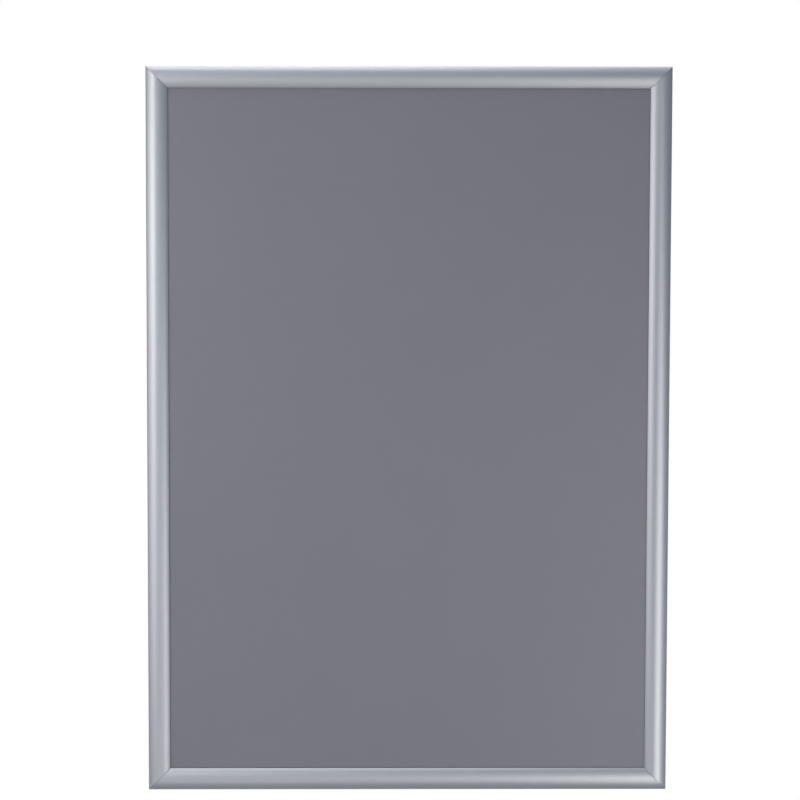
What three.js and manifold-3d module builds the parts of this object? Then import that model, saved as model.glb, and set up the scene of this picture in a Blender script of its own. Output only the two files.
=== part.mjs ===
// A wall-hung snap frame for an A1 poster, in millimetres, with Z up and the front facing -Y.
//
// Four mitred base rails hold a back panel and a clear cover sheet. A cover rail hinges on the outer edge
// of each base rail, and leaf springs throw it over centre, so it snaps shut on the sheet or stays open.
// The origin lies on the wall, halfway between the two fixing holes of the top rail.
//
// Every profile is drawn in its rail's own plane: u runs inward from the frame's outer edge and v runs
// out from the wall. A rail is extruded along s, so u, v and s are its local x, y and z.

import * as THREE from 'three';
import { mergeVertices } from 'three/addons/utils/BufferGeometryUtils.js';
import Module from 'manifold-3d';

const wasm = await Module();
wasm.setup();

// Poster and frame
const POSTER_WIDTH = 594;
const POSTER_HEIGHT = 841;
const EDGE_ROOM = 16; // from the frame's outer edge to the poster's edge
const LIP_COVER = 10; // how far the cover's lip reaches over the poster
const MITRE_GAP = 0.3; // between two rails at a mitre

// Sheets, which lie on the base rail's ledge
const PANEL_THICKNESS = 1.2;
const SHEET_THICKNESS = 0.5;
const SHEET_SIDE_GAP = 0.4; // from the edge of the sheets to the rail's upright
const STACK_GAP = 0.25; // between the ledge, the panel, the sheet and the lip

// Base rail
const WEB = 1; // the wall that lies on the building's wall
const CHAMBER_FLOOR = 1.2; // the web under the key's chamber, which takes the countersunk screws
const CHAMBER_HEIGHT = 2; // the hollow that takes the corner key
const RAIL_WALL = 1;
const LEDGE_WALL = 0.8;
const LIP_OVERHANG = 1.2; // how far the cover's lip stands past the base rail
const FOOT_SETBACK = 0.3;
const STEM = 1.6; // carries the hinge socket

// Hinge
const HINGE_RISE = 3.6; // from the web to the hinge's axis
const BEAD_R = 1.25;
const NECK = 0.9;
const RUN_GAP = 0.25; // between the bead, the socket and the claw
const SOCKET_WALL = 0.8;
const CLAW_WALL = 1;
const SWING = 100; // degrees that a cover opens
const SEAT_ANGLE = -33; // direction of the spring's seat from the hinge, with the cover shut

// Cover rail
const SHELL = 1.1;
const CREST_U = 12.6; // from the outer edge to the crest of the face
const CREST_ROOM = 1.15; // between the spring's hook and the underside of the crest
const LIP_EDGE = 1.1; // height of the inner edge
const LIP_FOOT = 1.8; // width of the foot that presses on the sheet
const SHOULDER_R = 2;
const NOSE_R = 0.6;
const CLAW_FILLET = 0.8;
const TIP = 0.4; // thickness of the outer edge where it ends over the socket

// Leaf springs
const LEAF = 0.4;
const LEAF_LENGTH = 24; // along the rail
const LEAF_BOW = 0.8;
const ROLL_R = 0.5;
const ROLL_GAP = 0.25;
const SEAT_FLOOR = 0.1; // the seat's lowest point stands this far proud of the claw
const SEAT_HORN = 0.35;
const HOOK_WALL = 0.8;
const SPRING_PITCH = 200;
const SPRINGS_SHORT = 2;
const SPRINGS_LONG = 3;

// Corner keys and fasteners
const KEY_SIDE_GAP = 0.3;
const KEY_FACE_GAP = 0.25;
const KEY_ARM = 60;
const KEY_SCREW_IN = 42; // from the frame's corner to a key screw
const KEY_SCREW_R = 1.25;
const KEY_SCREW_HEAD_R = 2.45;
const KEY_SCREW_SUNK = 0.1;
const SCREW_GAP = 0.3;
const RECESS_SPAN = 2.6;
const RECESS_WIDTH = 0.6;
const RECESS_DEPTH = 0.7;
const FIXING_HOLE_R = 2.3;
const FIXING_HOLE_U = 10;
const FIXING_HOLE_IN = 120; // from the frame's corner to a wall fixing hole

// Fineness of the round shapes
const FACE_STEPS = 24;
const ROUND_STEPS = 32; // facets in a full circle of a profile
const DRILL_STEPS = 24;
const CUTTER_OVERRUN = 0.5;

// Sizes that follow from the ones above
const FACE = EDGE_ROOM + LIP_COVER;
const FRAME_WIDTH = POSTER_WIDTH + 2 * EDGE_ROOM;
const FRAME_HEIGHT = POSTER_HEIGHT + 2 * EDGE_ROOM;
const CHAMBER_TOP = CHAMBER_FLOOR + CHAMBER_HEIGHT;
const LEDGE_V = CHAMBER_TOP + LEDGE_WALL;
const PANEL_V = LEDGE_V + STACK_GAP;
const SHEET_V = PANEL_V + PANEL_THICKNESS + STACK_GAP;
const LIP_V = SHEET_V + SHEET_THICKNESS + STACK_GAP;
const UPRIGHT_U = EDGE_ROOM - SHEET_SIDE_GAP; // the upright's inner side
const BASE_EDGE_U = FACE - LIP_OVERHANG;
const CHAMBER_EDGE_U = BASE_EDGE_U - RAIL_WALL;
const KEY_U = (UPRIGHT_U + CHAMBER_EDGE_U) / 2;

const SOCKET_IN = BEAD_R + RUN_GAP;
const SOCKET_OUT = SOCKET_IN + SOCKET_WALL;
const CLAW_IN = SOCKET_OUT + RUN_GAP;
const CLAW_OUT = CLAW_IN + CLAW_WALL;
const HORN_R = CLAW_OUT + SEAT_HORN;
const HINGE = new THREE.Vector2(SOCKET_OUT, WEB + HINGE_RISE);

const ROLL_SEAT_R = ROLL_R + ROLL_GAP;
const HOOK_OUT = ROLL_SEAT_R + HOOK_WALL;
const HOOK_ANGLE = SEAT_ANGLE + SWING / 2; // the spring is over centre halfway through the swing
const HOOK_DISTANCE = (UPRIGHT_U - HOOK_OUT - HINGE.x) / cosine(HOOK_ANGLE);
const HOOK = pointAt(HINGE, HOOK_DISTANCE, HOOK_ANGLE);
const SEAT_DISTANCE = CLAW_OUT + SEAT_FLOOR + ROLL_SEAT_R;
const SEAT = pointAt(HINGE, SEAT_DISTANCE, SEAT_ANGLE);

const DEPTH = HOOK.y + HOOK_OUT + CREST_ROOM + SHELL;
const FACE_DROP = DEPTH - (LIP_V + LIP_EDGE);
const FACE_R = ((FACE - CREST_U) ** 2 + FACE_DROP ** 2) / (2 * FACE_DROP);
const FACE_CENTRE = new THREE.Vector2(CREST_U, DEPTH - FACE_R);

const ANODISED = { color: 0xc3c6cb, roughness: 0.38, metalness: 1 };
const MILL_FINISH = { color: 0xb4b7bb, roughness: 0.45, metalness: 1 };
const SPRING_STEEL = { color: 0x6c6f75, roughness: 0.35, metalness: 1 };
const ZINC_STEEL = { color: 0x9a9da3, roughness: 0.4, metalness: 1 };
const GREY_BOARD = { color: 0x7b7b82, roughness: 0.7, metalness: 0 };
const CLEAR_SHEET = { color: 0xe8ebee, roughness: 0.3, metalness: 0, transparent: true, opacity: 0.25 };

function cosine(degrees) {
  return Math.cos(THREE.MathUtils.degToRad(degrees));
}

function sine(degrees) {
  return Math.sin(THREE.MathUtils.degToRad(degrees));
}

function arcCosine(ratio) {
  return THREE.MathUtils.radToDeg(Math.acos(ratio));
}

function arcSine(ratio) {
  return THREE.MathUtils.radToDeg(Math.asin(ratio));
}

function pointAt(centre, radius, degrees) {
  return new THREE.Vector2(centre.x + radius * cosine(degrees), centre.y + radius * sine(degrees));
}

// The direction of one point from another, from 0 to 360 degrees.
function bearing(from, to) {
  return THREE.MathUtils.radToDeg(to.clone().sub(from).angle());
}

// A point so far ahead in a direction, and so far to the left of it.
function offsetPoint(start, degrees, ahead, left) {
  return pointAt(pointAt(start, ahead, degrees), left, degrees + 90);
}

// Where two circles meet, on the left of the line from the first centre to the second.
function meetingPoint(centre, radius, other, otherRadius) {
  const span = centre.distanceTo(other);
  const ahead = (span ** 2 + radius ** 2 - otherRadius ** 2) / (2 * span);
  return offsetPoint(centre, bearing(centre, other), ahead, Math.sqrt(radius ** 2 - ahead ** 2));
}

// Points on an arc from one direction to another, both ends included.
function arc(centre, radius, from, to, steps = roundSteps(to - from)) {
  const turn = (to - from) / steps;
  return Array.from({ length: steps + 1 }, (_, i) => pointAt(centre, radius, from + turn * i));
}

function roundSteps(degrees) {
  return Math.ceil((Math.abs(degrees) * ROUND_STEPS) / 360);
}

// The base rail: foot, key chamber with its ledge, upright with the spring hook, and hinge socket.
function baseProfile() {
  const neckRoom = NECK / 2 + RUN_GAP;
  const mouthIn = arcSine(neckRoom / SOCKET_IN);
  const mouthOut = arcSine(neckRoom / SOCKET_OUT);
  const openAngle = SEAT_ANGLE + SWING;
  const stemHalf = arcSine(STEM / 2 / SOCKET_OUT);

  const { shut, open, lean } = leafDirections();
  const leafRoom = LEAF / 2 + ROLL_GAP;
  const hookIn = arcSine(leafRoom / ROLL_SEAT_R);
  const hookOut = arcSine(leafRoom / HOOK_OUT);
  const uprightOuterU = UPRIGHT_U - RAIL_WALL;
  const hookFoot = arcSine((uprightOuterU - HOOK.x) / HOOK_OUT) - 90;

  const outline = new THREE.Shape([
    new THREE.Vector2(FOOT_SETBACK, 0),
    new THREE.Vector2(BASE_EDGE_U, 0),
    new THREE.Vector2(BASE_EDGE_U, LEDGE_V),
    new THREE.Vector2(UPRIGHT_U, LEDGE_V),
    ...arc(HOOK, HOOK_OUT, 0, open - lean - hookOut),
    ...arc(HOOK, ROLL_SEAT_R, open - lean - hookIn, shut - lean + hookIn - 360),
    ...arc(HOOK, HOOK_OUT, shut - lean + hookOut - 360, hookFoot),
    new THREE.Vector2(uprightOuterU, WEB),
    new THREE.Vector2(HINGE.x + STEM / 2, WEB),
    ...arc(HINGE, SOCKET_OUT, stemHalf - 90, SEAT_ANGLE - mouthOut),
    ...arc(HINGE, SOCKET_IN, SEAT_ANGLE - mouthIn, openAngle + mouthIn - 360),
    ...arc(HINGE, SOCKET_OUT, openAngle + mouthOut, 270 - stemHalf),
    new THREE.Vector2(HINGE.x - STEM / 2, WEB),
    new THREE.Vector2(FOOT_SETBACK, WEB),
  ]);
  const chamber = new THREE.Path([
    new THREE.Vector2(UPRIGHT_U, CHAMBER_FLOOR),
    new THREE.Vector2(UPRIGHT_U, CHAMBER_TOP),
    new THREE.Vector2(CHAMBER_EDGE_U, CHAMBER_TOP),
    new THREE.Vector2(CHAMBER_EDGE_U, CHAMBER_FLOOR),
  ]);
  outline.holes.push(chamber);
  return outline;
}

// The cover rail: rounded face, lip, and the claw whose bead turns in the base rail's socket.
function coverProfile() {
  const tipAngle = arcCosine((TIP - HINGE.x) / CLAW_IN);
  const tipV = pointAt(HINGE, CLAW_IN, tipAngle).y;

  const shoulderRise = Math.sqrt((FACE_R - SHOULDER_R) ** 2 - (CREST_U - SHOULDER_R) ** 2);
  const shoulder = new THREE.Vector2(SHOULDER_R, FACE_CENTRE.y + shoulderRise);
  const shoulderEnd = bearing(FACE_CENTRE, shoulder);

  const noseU = FACE - NOSE_R;
  const noseRise = Math.sqrt((FACE_R - NOSE_R) ** 2 - (noseU - CREST_U) ** 2);
  const nose = new THREE.Vector2(noseU, FACE_CENTRE.y + noseRise);
  const noseStart = bearing(FACE_CENTRE, nose);

  const shellR = FACE_R - SHELL;
  const footU = FACE - LIP_FOOT;
  const footAngle = arcCosine((footU - CREST_U) / shellR);
  const fillet = meetingPoint(HINGE, CLAW_OUT + CLAW_FILLET, FACE_CENTRE, shellR - CLAW_FILLET);
  const shellEnd = bearing(FACE_CENTRE, fillet);
  const clawStart = bearing(HINGE, fillet);

  const hornRun = meetingPoint(SEAT, ROLL_SEAT_R, HINGE, HORN_R);
  const cupHalf = bearing(HINGE, SEAT) - bearing(HINGE, hornRun);
  const cupTurn = bearing(SEAT, hornRun) - bearing(SEAT, HINGE);
  const hornHalf = cupHalf + THREE.MathUtils.radToDeg(SEAT_HORN / HORN_R);
  const toSocket = bearing(SEAT, HINGE);

  const neckAtBead = arcSine(NECK / 2 / BEAD_R);
  const neckAtClaw = arcSine(NECK / 2 / CLAW_IN);

  return new THREE.Shape([
    new THREE.Vector2(0, tipV),
    ...arc(shoulder, SHOULDER_R, 180, shoulderEnd, 6),
    ...arc(FACE_CENTRE, FACE_R, shoulderEnd, noseStart, FACE_STEPS).slice(1),
    ...arc(nose, NOSE_R, noseStart, 0, 4).slice(1),
    new THREE.Vector2(FACE, LIP_V),
    new THREE.Vector2(footU, LIP_V),
    ...arc(FACE_CENTRE, shellR, footAngle, shellEnd, FACE_STEPS),
    ...arc(fillet, CLAW_FILLET, shellEnd, clawStart + 180).slice(1),
    ...arc(HINGE, CLAW_OUT, clawStart, SEAT_ANGLE + hornHalf).slice(1),
    ...arc(HINGE, HORN_R, SEAT_ANGLE + hornHalf, SEAT_ANGLE + cupHalf, 1),
    ...arc(SEAT, ROLL_SEAT_R, toSocket - cupTurn, toSocket + cupTurn, 6).slice(1, -1),
    ...arc(HINGE, HORN_R, SEAT_ANGLE - cupHalf, SEAT_ANGLE - hornHalf, 1),
    offsetPoint(HINGE, SEAT_ANGLE, CLAW_OUT - CLAW_WALL / 2, -HORN_R * sine(hornHalf)),
    pointAt(HINGE, CLAW_IN, SEAT_ANGLE - neckAtClaw),
    ...arc(HINGE, BEAD_R, SEAT_ANGLE - neckAtBead, SEAT_ANGLE + neckAtBead - 360),
    ...arc(HINGE, CLAW_IN, SEAT_ANGLE + neckAtClaw, tipAngle),
  ]);
}

// Directions of a shut and an open spring's chord from its hook, and how far its ends lean off the chord.
function leafDirections() {
  const openSeat = pointAt(HINGE, SEAT_DISTANCE, SEAT_ANGLE + SWING);
  const chord = HOOK.distanceTo(SEAT);
  const lean = THREE.MathUtils.radToDeg(2 * Math.atan((2 * LEAF_BOW) / chord));
  return { shut: bearing(HOOK, SEAT), open: bearing(HOOK, openSeat), lean, chord };
}

// A leaf spring: a bowed strip with one rolled edge in the base's hook and the other in the claw's seat.
function springProfile() {
  const { shut, lean, chord } = leafDirections();
  const bowR = chord / 2 / sine(lean);
  const centre = offsetPoint(HOOK, shut, chord / 2, bowR * cosine(lean));
  const rollTrim = arcSine(LEAF / 2 / ROLL_R);
  const rollTurn = THREE.MathUtils.radToDeg((ROLL_R * cosine(rollTrim)) / bowR);
  const from = bearing(centre, HOOK) + rollTurn;
  const to = bearing(centre, SEAT) - rollTurn;
  const intoHook = shut - lean;
  const intoSeat = shut + 180 + lean;
  return new THREE.Shape([
    ...arc(centre, bowR + LEAF / 2, from, to, 8),
    ...arc(SEAT, ROLL_R, intoSeat + rollTrim, intoSeat + 360 - rollTrim, 12).slice(1, -1),
    ...arc(centre, bowR - LEAF / 2, to, from, 8),
    ...arc(HOOK, ROLL_R, intoHook + rollTrim, intoHook + 360 - rollTrim, 12).slice(1, -1),
  ]);
}

// How far a point of the cover moves inward past its place at rest while the cover swings open.
function inwardDrift(u, v) {
  const reach = Math.hypot(u - HINGE.x, v - HINGE.y);
  const start = THREE.MathUtils.radToDeg(Math.atan2(v - HINGE.y, u - HINGE.x));
  const passesInward = start < 0 && start + SWING > 0;
  const furthest = passesInward ? reach : Math.max(u - HINGE.x, reach * cosine(start + SWING));
  return furthest - (u - HINGE.x);
}

// A bar of this profile with its ends mitred, each end drawn back by what keeps it off its neighbour.
function mitredBar(profile, length, drawBack) {
  const geometry = new THREE.ExtrudeGeometry(profile, { depth: 1, bevelEnabled: false });
  const position = geometry.attributes.position;
  const halfGap = MITRE_GAP * Math.SQRT1_2;
  for (let i = 0; i < position.count; i++) {
    const u = position.getX(i);
    const end = length / 2 - u - halfGap - drawBack(u, position.getY(i));
    position.setZ(i, position.getZ(i) > 0.5 ? end : -end);
  }
  return geometry;
}

function toSolid(geometry) {
  const bare = geometry.clone();
  bare.deleteAttribute('normal');
  bare.deleteAttribute('uv');
  const merged = mergeVertices(bare, 1e-4);
  return new wasm.Manifold(
    new wasm.Mesh({
      numProp: 3,
      vertProperties: merged.attributes.position.array,
      triVerts: new Uint32Array(merged.index.array),
    }),
  );
}

function toGeometry(solid) {
  const mesh = solid.getMesh();
  const geometry = new THREE.BufferGeometry();
  geometry.setAttribute('position', new THREE.BufferAttribute(mesh.vertProperties, 3));
  geometry.setIndex(new THREE.BufferAttribute(mesh.triVerts, 1));
  const faceted = geometry.toNonIndexed();
  faceted.computeVertexNormals();
  return faceted;
}

// A solid turned about the v axis from (radius, v) points that start and end on that axis.
function turned(...points) {
  return new THREE.LatheGeometry(points.map(([radius, v]) => new THREE.Vector2(radius, v)), DRILL_STEPS);
}

// The hole for a wall screw, countersunk by 45 degrees from the front.
function fixingCutter() {
  const top = WEB + CUTTER_OVERRUN;
  return turned(
    [0, -CUTTER_OVERRUN],
    [FIXING_HOLE_R, -CUTTER_OVERRUN],
    [FIXING_HOLE_R, 0],
    [FIXING_HOLE_R + top, top],
    [0, top],
  );
}

// The hole for a key's screw, countersunk by 45 degrees from the back.
function keyHoleCutter() {
  const wide = KEY_SCREW_HEAD_R + KEY_SCREW_SUNK + SCREW_GAP * Math.SQRT2;
  const narrow = KEY_SCREW_R + SCREW_GAP;
  const top = CHAMBER_FLOOR + CHAMBER_HEIGHT / 2;
  return turned(
    [0, -CUTTER_OVERRUN],
    [wide + CUTTER_OVERRUN, -CUTTER_OVERRUN],
    [narrow, wide - narrow],
    [narrow, top],
    [0, top],
  );
}

function drill(geometry, cutters) {
  const bored = cutters.reduce(
    (solid, { cutter, u, s }) => solid.subtract(toSolid(cutter.clone().translate(u, 0, s))),
    toSolid(geometry),
  );
  return toGeometry(bored);
}

// Both ends of a rail, as signs along s.
const ENDS = [-1, 1];

function baseRail(length) {
  const cutters = ENDS.flatMap((end) => [
    { cutter: keyHoleCutter(), u: KEY_U, s: end * (length / 2 - KEY_SCREW_IN) },
    { cutter: fixingCutter(), u: FIXING_HOLE_U, s: end * (length / 2 - FIXING_HOLE_IN) },
  ]);
  return drill(mitredBar(baseProfile(), length, () => 0), cutters);
}

// A flat angle that slides into the chambers of two base rails. It is drawn in the s-u plane, from the
// frame's corner inward along both rails, and is given its thickness along v.
function cornerKey() {
  const near = UPRIGHT_U + KEY_SIDE_GAP;
  const far = CHAMBER_EDGE_U - KEY_SIDE_GAP;
  const end = near + KEY_ARM;
  const plate = new THREE.Shape([
    new THREE.Vector2(near, near),
    new THREE.Vector2(end, near),
    new THREE.Vector2(end, far),
    new THREE.Vector2(far, far),
    new THREE.Vector2(far, end),
    new THREE.Vector2(near, end),
  ]);
  const screws = [new THREE.Vector2(KEY_SCREW_IN, KEY_U), new THREE.Vector2(KEY_U, KEY_SCREW_IN)];
  const rims = screws.map((place) => arc(place, KEY_SCREW_R + SCREW_GAP, 0, 360, DRILL_STEPS).slice(1));
  plate.holes.push(...rims.map((rim) => new THREE.Path(rim)));

  const thickness = CHAMBER_HEIGHT - 2 * KEY_FACE_GAP;
  const geometry = new THREE.ExtrudeGeometry(plate, { depth: thickness, bevelEnabled: false });
  const alongS = new THREE.Vector3(0, 0, 1);
  const alongU = new THREE.Vector3(1, 0, 0);
  const alongV = new THREE.Vector3(0, 1, 0);
  geometry.applyMatrix4(new THREE.Matrix4().makeBasis(alongS, alongU, alongV));
  return geometry.translate(0, CHAMBER_FLOOR + KEY_FACE_GAP, 0);
}

// A countersunk screw with a cross recess, its head sunk just below the back of the web.
function keyScrew() {
  const neck = KEY_SCREW_SUNK + KEY_SCREW_HEAD_R - KEY_SCREW_R;
  const end = CHAMBER_TOP - KEY_FACE_GAP;
  const body = turned(
    [0, KEY_SCREW_SUNK],
    [KEY_SCREW_HEAD_R, KEY_SCREW_SUNK],
    [KEY_SCREW_R, neck],
    [KEY_SCREW_R, end],
    [0, end],
  );
  const height = 2 * (KEY_SCREW_SUNK + RECESS_DEPTH);
  const wideBlade = new THREE.BoxGeometry(RECESS_SPAN, height, RECESS_WIDTH);
  const crossBlade = new THREE.BoxGeometry(RECESS_WIDTH, height, RECESS_SPAN);
  return toGeometry(toSolid(body).subtract(toSolid(wideBlade).add(toSolid(crossBlade))));
}

function flatSheet(width, height, thickness) {
  return new THREE.BoxGeometry(width, thickness, height);
}

function named(name, geometry, finish) {
  const mesh = new THREE.Mesh(geometry, new THREE.MeshStandardMaterial(finish));
  mesh.name = name;
  return mesh;
}

// Evenly pitched places about the middle of a rail.
function pitched(count, pitch) {
  return Array.from({ length: count }, (_, i) => (i - (count - 1) / 2) * pitch);
}

const TOP_Z = FIXING_HOLE_U;
const MIDDLE_Z = TOP_Z - FRAME_HEIGHT / 2;
const FRONT = new THREE.Vector3(0, -1, 0);

// The middle of a side's outer edge, and the direction from there into the frame. A side starts at the
// corner that it names and runs anticlockwise, as seen from the front.
const SIDES = [
  {
    side: 'bottom',
    corner: 'bottom_left',
    length: FRAME_WIDTH,
    springs: SPRINGS_SHORT,
    middle: new THREE.Vector3(0, 0, MIDDLE_Z - FRAME_HEIGHT / 2),
    inward: new THREE.Vector3(0, 0, 1),
  },
  {
    side: 'right',
    corner: 'bottom_right',
    length: FRAME_HEIGHT,
    springs: SPRINGS_LONG,
    middle: new THREE.Vector3(FRAME_WIDTH / 2, 0, MIDDLE_Z),
    inward: new THREE.Vector3(-1, 0, 0),
  },
  {
    side: 'top',
    corner: 'top_right',
    length: FRAME_WIDTH,
    springs: SPRINGS_SHORT,
    middle: new THREE.Vector3(0, 0, TOP_Z),
    inward: new THREE.Vector3(0, 0, -1),
  },
  {
    side: 'left',
    corner: 'top_left',
    length: FRAME_HEIGHT,
    springs: SPRINGS_LONG,
    middle: new THREE.Vector3(-FRAME_WIDTH / 2, 0, MIDDLE_Z),
    inward: new THREE.Vector3(1, 0, 0),
  },
];

function buildSide({ side, corner, length, springs, middle, inward }) {
  const rail = new THREE.Group();
  const along = new THREE.Vector3().crossVectors(inward, FRONT);
  rail.setRotationFromMatrix(new THREE.Matrix4().makeBasis(inward, FRONT, along));
  rail.position.copy(middle);

  rail.add(named(`base_rail_${side}`, baseRail(length), MILL_FINISH));
  rail.add(named(`cover_rail_${side}`, mitredBar(coverProfile(), length, inwardDrift), ANODISED));

  pitched(springs, SPRING_PITCH).forEach((s, i) => {
    const leaf = new THREE.ExtrudeGeometry(springProfile(), { depth: LEAF_LENGTH, bevelEnabled: false });
    const spring = named(`spring_${side}_${i + 1}`, leaf, SPRING_STEEL);
    spring.position.z = s - LEAF_LENGTH / 2;
    rail.add(spring);
  });

  const key = named(`corner_key_${corner}`, cornerKey(), ZINC_STEEL);
  key.position.z = -length / 2;
  rail.add(key);

  ENDS.forEach((end, i) => {
    const screw = named(`key_screw_${side}_${i + 1}`, keyScrew(), ZINC_STEEL);
    screw.position.set(KEY_U, 0, end * (length / 2 - KEY_SCREW_IN));
    rail.add(screw);
  });
  return rail;
}

const frame = new THREE.Group();
SIDES.forEach((side) => frame.add(buildSide(side)));

const panel = named('back_panel', flatSheet(POSTER_WIDTH, POSTER_HEIGHT, PANEL_THICKNESS), GREY_BOARD);
panel.position.set(0, -(PANEL_V + PANEL_THICKNESS / 2), MIDDLE_Z);
frame.add(panel);

const sheet = named('cover_sheet', flatSheet(POSTER_WIDTH, POSTER_HEIGHT, SHEET_THICKNESS), CLEAR_SHEET);
sheet.position.set(0, -(SHEET_V + SHEET_THICKNESS / 2), MIDDLE_Z);
frame.add(sheet);

export default frame;
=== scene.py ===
"""The looks of a wall-hung aluminium snap frame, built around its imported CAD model.

The frame hangs upright and faces -Y. Rails are drawn in the section's own plane, in millimetres: u runs
inward from the frame's outer edge, v runs out from the wall and s runs along the rail. The finished meshes
are in metres, in the CAD model's frame.
"""

import logging
import math
from dataclasses import dataclass
from enum import Enum
from functools import cache

import bmesh
import bpy
from mathutils import Matrix, Vector


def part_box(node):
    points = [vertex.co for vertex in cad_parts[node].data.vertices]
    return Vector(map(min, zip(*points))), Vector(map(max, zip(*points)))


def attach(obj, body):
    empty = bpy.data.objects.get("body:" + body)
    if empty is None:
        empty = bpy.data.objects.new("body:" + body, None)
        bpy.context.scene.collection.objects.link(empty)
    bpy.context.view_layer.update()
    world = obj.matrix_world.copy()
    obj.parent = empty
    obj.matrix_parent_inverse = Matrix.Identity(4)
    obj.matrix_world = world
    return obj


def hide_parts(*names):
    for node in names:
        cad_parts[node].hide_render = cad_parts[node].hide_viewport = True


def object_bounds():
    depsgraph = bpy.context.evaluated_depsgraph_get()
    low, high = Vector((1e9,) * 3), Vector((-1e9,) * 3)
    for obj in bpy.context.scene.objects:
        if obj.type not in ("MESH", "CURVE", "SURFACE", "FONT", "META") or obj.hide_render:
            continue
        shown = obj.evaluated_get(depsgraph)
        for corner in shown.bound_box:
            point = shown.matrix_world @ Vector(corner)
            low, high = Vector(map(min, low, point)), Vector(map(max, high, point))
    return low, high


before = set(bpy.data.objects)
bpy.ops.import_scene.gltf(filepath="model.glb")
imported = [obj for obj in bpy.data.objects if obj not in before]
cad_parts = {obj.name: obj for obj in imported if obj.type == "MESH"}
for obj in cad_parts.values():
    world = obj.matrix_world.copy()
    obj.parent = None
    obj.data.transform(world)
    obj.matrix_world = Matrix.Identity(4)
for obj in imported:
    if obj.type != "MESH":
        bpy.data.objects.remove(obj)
CAD_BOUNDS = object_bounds()

LOG = logging.getLogger("poster_frame")
MM = 0.001
FRONT = Vector((0.0, -1.0, 0.0))
MERGE_DISTANCE = 0.002 * MM
NOISE_MIDDLE = (0.3, 0.7)  # where most of a noise's values lie


class Side(Enum):
    """The four sides of the frame, each with the direction from its outer edge into the frame."""

    BOTTOM = (0.0, 0.0, 1.0)
    RIGHT = (-1.0, 0.0, 0.0)
    TOP = (0.0, 0.0, -1.0)
    LEFT = (1.0, 0.0, 0.0)

    @property
    def label(self) -> str:
        """The side's name as the CAD nodes spell it."""
        return self.name.lower()

    @property
    def inward(self) -> Vector:
        """The direction from the side's outer edge into the frame."""
        return Vector(self.value)

    @property
    def along(self) -> Vector:
        """The direction in which the side's rails run."""
        return self.inward.cross(FRONT)

    @property
    def grain(self) -> "Grain":
        """The direction of the lines that extrusion leaves on the side's rails."""
        return Grain.ACROSS if abs(self.inward.z) > 0.5 else Grain.UPRIGHT


class Grain(Enum):
    """The axis along which a drawn or extruded surface has its lines."""

    ACROSS = 0
    DEPTH = 1
    UPRIGHT = 2


def linear_colour(hex_colour: str) -> tuple[float, float, float, float]:
    """Turns an sRGB hex colour into Blender's linear RGBA.

    Args:
        hex_colour: Six hex digits after a hash sign.

    Returns:
        Linear red, green and blue, and an alpha of 1.
    """
    channels = [int(hex_colour[i : i + 2], 16) / 255 for i in (1, 3, 5)]
    linear = [c / 12.92 if c <= 0.04045 else ((c + 0.055) / 1.055) ** 2.4 for c in channels]
    return (*linear, 1.0)


def add_node(
    tree: bpy.types.NodeTree, kind: str, inputs: dict | None = None, **settings: object
) -> bpy.types.Node:
    """Adds a shader node with its settings and links.

    Args:
        tree: The node tree of a material or world.
        kind: The node's type name, without the leading ShaderNode.
        inputs: Values by input name or index. A socket is linked, and any other value is set.
        settings: Properties of the node.

    Returns:
        The new node.
    """
    node = tree.nodes.new("ShaderNode" + kind)
    for name, value in settings.items():
        setattr(node, name, value)
    for name, value in (inputs or {}).items():
        if isinstance(value, bpy.types.NodeSocket):
            tree.links.new(value, node.inputs[name])
        else:
            node.inputs[name].default_value = value
    return node


def empty_material(name: str) -> tuple[bpy.types.Material, bpy.types.NodeTree]:
    """Makes a node material that has no nodes yet.

    Args:
        name: The material's name.

    Returns:
        The material and its node tree.
    """
    material = bpy.data.materials.new(name)
    material.use_nodes = True
    material.node_tree.nodes.clear()
    return material, material.node_tree


def lined_position(
    tree: bpy.types.NodeTree, grain: Grain, spacing: float, length: float
) -> bpy.types.NodeSocket:
    """Stretches the object's coordinates so that noise on them makes lines.

    Args:
        tree: The material's node tree.
        grain: The axis that the lines follow.
        spacing: The lines' spacing in millimetres.
        length: How far a line runs before it changes, in millimetres.

    Returns:
        The stretched position.
    """
    scale = [1 / (spacing * MM)] * 3
    scale[grain.value] = 1 / (length * MM)
    place = add_node(tree, "TexCoord")
    mapping = add_node(tree, "Mapping", {"Vector": place.outputs["Object"], "Scale": scale})
    return mapping.outputs["Vector"]


def grain_position(tree: bpy.types.NodeTree, size: float) -> bpy.types.NodeSocket:
    """Scales the object's coordinates so that one unit of noise is a grain.

    Args:
        tree: The material's node tree.
        size: The grain's size in millimetres.

    Returns:
        The scaled position.
    """
    place = add_node(tree, "TexCoord")
    scale = [1 / (size * MM)] * 3
    mapping = add_node(tree, "Mapping", {"Vector": place.outputs["Object"], "Scale": scale})
    return mapping.outputs["Vector"]


def direct_look(tree: bpy.types.NodeTree) -> bpy.types.NodeSocket:
    """Tells what is looked at straight from what lights or is mirrored.

    Args:
        tree: The node tree of a material or world.

    Returns:
        1 for the camera's own rays and for rays through clear pieces, and 0 for all others.
    """
    ray = add_node(tree, "LightPath")
    either = {0: ray.outputs["Is Camera Ray"], 1: ray.outputs["Is Transmission Ray"]}
    return add_node(tree, "Math", either, operation="MAXIMUM").outputs["Value"]


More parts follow.
